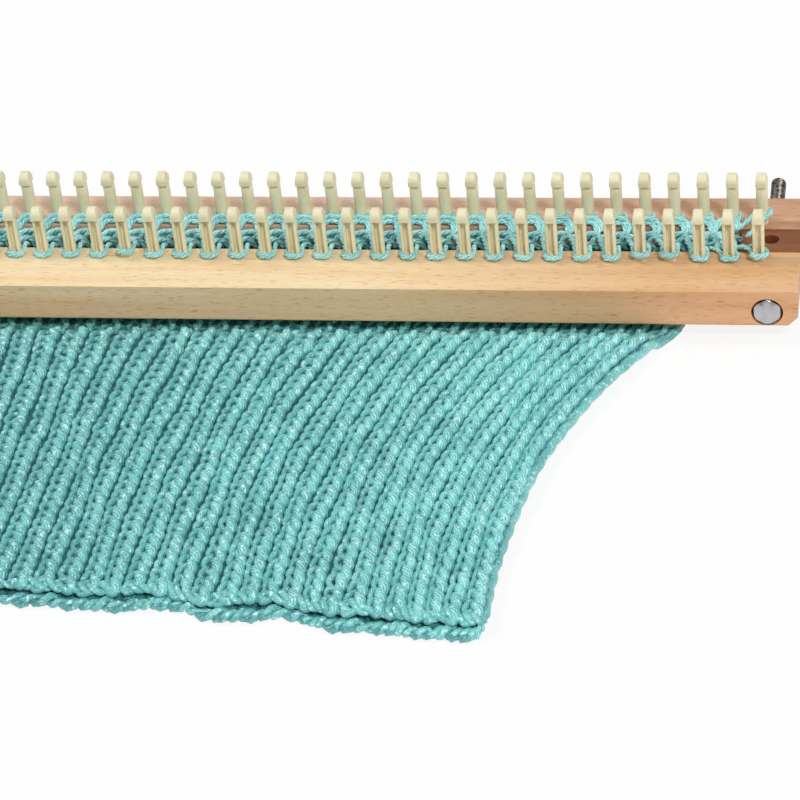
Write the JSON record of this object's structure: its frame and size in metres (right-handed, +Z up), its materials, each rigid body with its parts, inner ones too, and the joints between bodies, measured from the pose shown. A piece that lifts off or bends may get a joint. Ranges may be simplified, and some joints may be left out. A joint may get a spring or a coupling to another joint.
{
  "type": "knitting board",
  "caption": "Adjustable two-rail wooden knitting board with grooved nylon pegs, clamp bolts and wing nuts, carrying a piece of double knitting.",
  "frame": {"origin": "on the table, midway along the rails and midway between them", "axes": "+X along the rails to the right, +Y from the front rail to the rear rail, +Z up"},
  "size_m": [0.4844, 0.2315, 0.0393],
  "materials": {
    "beech": "fine-sanded, clear satin finish",
    "nylon": "moulded, satin",
    "steel": "zinc plated",
    "yarn": "plied yarn with a soft sheen"
  },
  "bodies": {
    "board": {"front_rail": "beech", "front_pegs": "nylon", "left_bolt": "steel", "right_bolt": "steel", "left_spacer": "beech", "right_spacer": "beech", "knit_web": "yarn", "knit_upper_layer": "yarn", "knit_lower_layer": "yarn", "front_stitches": "yarn"},
    "rear_bar": {"rear_rail": "beech", "rear_pegs": "nylon", "left_washer": "steel", "right_washer": "steel", "rear_stitches": "yarn"},
    "left_nut": {"left_wing_nut": "steel"},
    "right_nut": {"right_wing_nut": "steel"}
  },
  "joints": [
    {"name": "rear_bar_slide", "type": "slide", "parent": "board", "child": "rear_bar", "axis": [0, 1, 0], "range_m": [0, 0.012]},
    {"name": "right_nut_turn", "type": "hinge", "parent": "rear_bar", "child": "right_nut", "pos_m": [0.2319, 0.0321, 0.0115], "axis": [0, 1, 0], "range_deg": [0, 5400]},
    {"name": "left_nut_turn", "type": "hinge", "parent": "rear_bar", "child": "left_nut", "pos_m": [-0.2319, 0.0321, 0.0115], "axis": [0, 1, 0], "range_deg": [0, 5400]}
  ],
  "couplings": [
    {"joint": "right_nut_turn", "follows": "rear_bar_slide", "rad_per_m": 7854},
    {"joint": "left_nut_turn", "follows": "rear_bar_slide", "rad_per_m": 7854}
  ]
}
